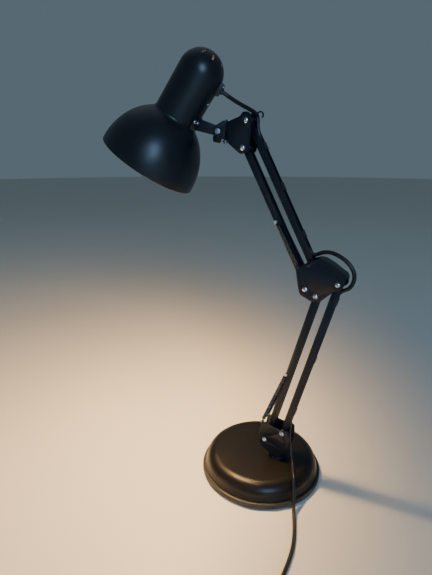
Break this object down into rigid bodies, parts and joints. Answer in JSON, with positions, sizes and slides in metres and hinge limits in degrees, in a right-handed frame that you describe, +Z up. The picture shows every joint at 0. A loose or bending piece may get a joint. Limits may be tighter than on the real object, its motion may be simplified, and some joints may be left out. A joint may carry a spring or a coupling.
{
  "type": "desk lamp",
  "caption": "Articulated desk lamp with a weighted round base, two parallelogram arms with balance springs, and a bell shade on a swivelling, tilting head.",
  "frame": {"origin": "middle of the base's underside, on the surface it stands on", "axes": "+Z up; the arms lie in the XZ plane, the head reaches towards -X and the arms lean back towards +X at the elbow; +Y completes the frame"},
  "size_m": [0.3507, 0.428, 0.6117],
  "materials": {
    "black_paint": "satin powder coat",
    "shade_paint": "satin enamel",
    "black_plastic": "moulded, fine grain",
    "foot_rubber": "matte",
    "ballast_iron": "as cast",
    "zinc_steel": "bright zinc plate",
    "bare_steel": "drawn",
    "spring_steel": "blackened wire",
    "cord_pvc": "semi-matte PVC sheath",
    "contact_brass": "plain",
    "cap_metal": "threaded cap",
    "opal_glass": "opal",
    "pin_nickel": "nickel plate"
  },
  "bodies": {
    "base": {"base_pad": "foot_rubber", "base_rim": "black_plastic", "base_ballast": "ballast_iron", "base_cover": "black_paint", "base_socket": "black_paint", "base_screws": "zinc_steel", "lead": "cord_pvc", "lead_coil": "cord_pvc", "lead_tie": "black_plastic", "switch_case": "black_plastic", "plug_body": "black_plastic", "plug_pins": "pin_nickel"},
    "switch_key": {"switch_rocker": "black_plastic"},
    "lower_bracket": {"swivel_post": "zinc_steel", "bracket_foot": "black_paint", "lower_plate_near": "black_paint", "lower_plate_far": "black_paint", "lower_liners": "black_plastic", "lower_rivets": "zinc_steel"},
    "lower_front_rod": {"lower_front_channel": "black_paint", "lower_front_bushes": "bare_steel", "lower_spring_pin": "bare_steel"},
    "lower_rear_rod": {"lower_rear_channel": "black_paint", "lower_rear_bushes": "bare_steel", "lower_cord": "cord_pvc"},
    "elbow": {"elbow_plate_near": "black_paint", "elbow_plate_far": "black_paint", "elbow_web": "black_paint", "elbow_rivets": "zinc_steel"},
    "upper_front_rod": {"upper_front_channel": "black_paint", "upper_front_bushes": "bare_steel", "upper_spring_pin": "bare_steel"},
    "upper_rear_rod": {"upper_rear_channel": "black_paint", "upper_rear_bushes": "bare_steel", "upper_cord": "cord_pvc"},
    "head_bracket": {"head_plate_near": "black_paint", "head_plate_far": "black_paint", "head_hinge_block": "black_paint", "head_rivets": "zinc_steel", "head_cord_rear": "cord_pvc"},
    "yoke": {"head_yoke": "black_paint", "yoke_pin": "zinc_steel", "tilt_bolt": "zinc_steel", "head_cord_front": "cord_pvc"},
    "tilt_nut": {"tilt_knob": "black_plastic"},
    "head": {"stub_arm": "black_paint", "stub_saddle": "black_paint", "head_screws": "zinc_steel", "shade": "shade_paint", "neck": "shade_paint", "lampholder": "black_plastic", "holder_contacts": "contact_brass", "bulb_cap": "cap_metal", "bulb_glass": "opal_glass", "cord_gland": "black_plastic"},
    "lower_spring": {"lower_spring_coils": "spring_steel"},
    "lower_spring_end": {"lower_spring_loops": "spring_steel"},
    "upper_spring": {"upper_spring_coils": "spring_steel"},
    "upper_spring_end": {"upper_spring_loops": "spring_steel"}
  },
  "joints": [
    {"name": "base_swivel", "type": "hinge", "parent": "base", "child": "lower_bracket", "pos_m": [0.028, 0, 0.04], "axis": [0, 0, 1], "range_deg": [-70, 70], "deforming": ["lead"]},
    {"name": "lower_arm", "type": "hinge", "parent": "lower_bracket", "child": "lower_rear_rod", "pos_m": [0.03794, 0, 0.08148], "axis": [0, 1, 0], "range_deg": [-24, 18], "deforming": ["lower_cord"]},
    {"name": "lower_front_link", "type": "hinge", "parent": "lower_bracket", "child": "lower_front_rod", "pos_m": [0.0105, 0, 0.0614], "axis": [0, 1, 0], "range_deg": [-24.5, 18.5]},
    {"name": "elbow_level", "type": "hinge", "parent": "lower_rear_rod", "child": "elbow", "pos_m": [0.1018, 0, 0.32422], "axis": [0, 1, 0], "range_deg": [-18.5, 24.5]},
    {"name": "upper_arm", "type": "hinge", "parent": "elbow", "child": "upper_rear_rod", "pos_m": [0.06382, 0, 0.34547], "axis": [0, 1, 0], "range_deg": [-70, 15], "deforming": ["upper_cord"]},
    {"name": "upper_front_link", "type": "hinge", "parent": "elbow", "child": "upper_front_rod", "pos_m": [0.05956, 0, 0.31174], "axis": [0, 1, 0], "range_deg": [-70.5, 15.5]},
    {"name": "head_level", "type": "hinge", "parent": "upper_rear_rod", "child": "head_bracket", "pos_m": [-0.03207, 0, 0.52326], "axis": [0, 1, 0], "range_deg": [-15.5, 70.5]},
    {"name": "head_swivel", "type": "hinge", "parent": "head_bracket", "child": "yoke", "pos_m": [-0.06603, 0, 0.51203], "axis": [0.1668, 0, 0.986], "range_deg": [-45, 26], "deforming": ["head_cord_rear"]},
    {"name": "head_tilt", "type": "hinge", "parent": "yoke", "child": "head", "pos_m": [-0.07733, -0.00482, 0.5111], "axis": [-0.3963, 0.9157, 0.067], "range_deg": [-48, 44], "deforming": ["head_cord_front"]},
    {"name": "tilt_nut_turn", "type": "hinge", "parent": "yoke", "child": "tilt_nut", "pos_m": [-0.07733, -0.00482, 0.5111], "axis": [-0.3963, 0.9157, 0.067], "range_deg": [-35, 60]},
    {"name": "lower_spring_swing", "type": "hinge", "parent": "lower_bracket", "child": "lower_spring", "pos_m": [0.004, 0, 0.09], "axis": [0, 1, 0], "range_deg": [-30.98, 23.36]},
    {"name": "lower_spring_stretch", "type": "slide", "parent": "lower_spring", "child": "lower_spring_end", "axis": [0.3591, 0, 0.9333], "range_m": [-0.00603, 0.00465], "deforming": ["lower_spring_coils", "lower_spring_loops"]},
    {"name": "upper_spring_swing", "type": "hinge", "parent": "elbow", "child": "upper_spring", "pos_m": [0.05346, 0, 0.33004], "axis": [0, 1, 0], "range_deg": [-81, 17.75]},
    {"name": "upper_spring_stretch", "type": "slide", "parent": "upper_spring", "child": "upper_spring_end", "axis": [-0.5119, 0, 0.859], "range_m": [-0.00396, 0.01663], "deforming": ["upper_spring_coils", "upper_spring_loops"]},
    {"name": "switch_rock", "type": "hinge", "parent": "base", "child": "switch_key", "pos_m": [0.109, -0.226, 0.014], "axis": [0.9986, 0.0523, 0], "range_deg": [0, 16]}
  ],
  "couplings": [
    {"joint": "lower_front_link", "follows": "lower_arm", "ratio": 1},
    {"joint": "elbow_level", "follows": "lower_arm", "ratio": -1},
    {"joint": "upper_front_link", "follows": "upper_arm", "ratio": 1},
    {"joint": "head_level", "follows": "upper_arm", "ratio": -1},
    {"joint": "lower_spring_swing", "follows": "lower_arm", "ratio": 1.27},
    {"joint": "lower_spring_stretch", "follows": "lower_arm", "m_per_rad": 0.0132},
    {"joint": "upper_spring_swing", "follows": "upper_arm", "ratio": 1.15},
    {"joint": "upper_spring_stretch", "follows": "upper_arm", "m_per_rad": -0.0132}
  ]
}
